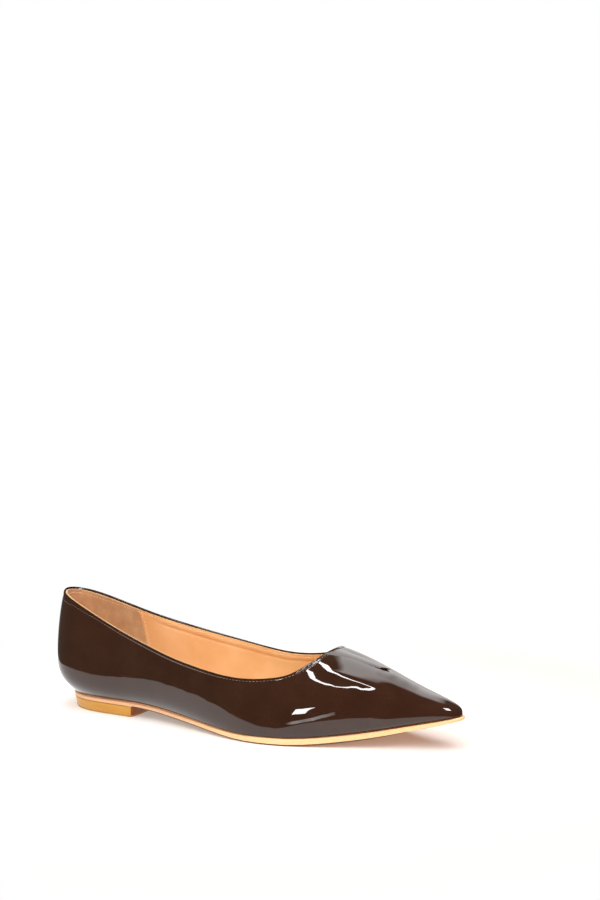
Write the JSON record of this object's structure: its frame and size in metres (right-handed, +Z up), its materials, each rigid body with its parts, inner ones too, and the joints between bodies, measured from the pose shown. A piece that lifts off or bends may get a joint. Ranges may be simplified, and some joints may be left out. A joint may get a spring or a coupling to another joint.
{
  "type": "pointed toe flat shoe",
  "caption": "Low cut slip-on flat shoe for the right foot, with a pointed toe, an open collar, a thin outsole and a low heel block.",
  "frame": {"origin": "centre of the bounding box in plan, on the plane that the sole stands on", "axes": "+X towards the toe, +Z up, -Y towards the outer (lateral) side of the foot"},
  "size_m": [0.2608, 0.0798, 0.07],
  "materials": {
    "upper": "dark brown patent, high gloss",
    "insole": "tan lining, matte",
    "outsole": "pale tan moulded sole, satin",
    "heel": "mustard heel block, satin"
  },
  "bodies": {
    "root": {"upper": "upper", "insole": "insole", "outsole": "outsole", "heel": "heel"}
  },
  "joints": []
}
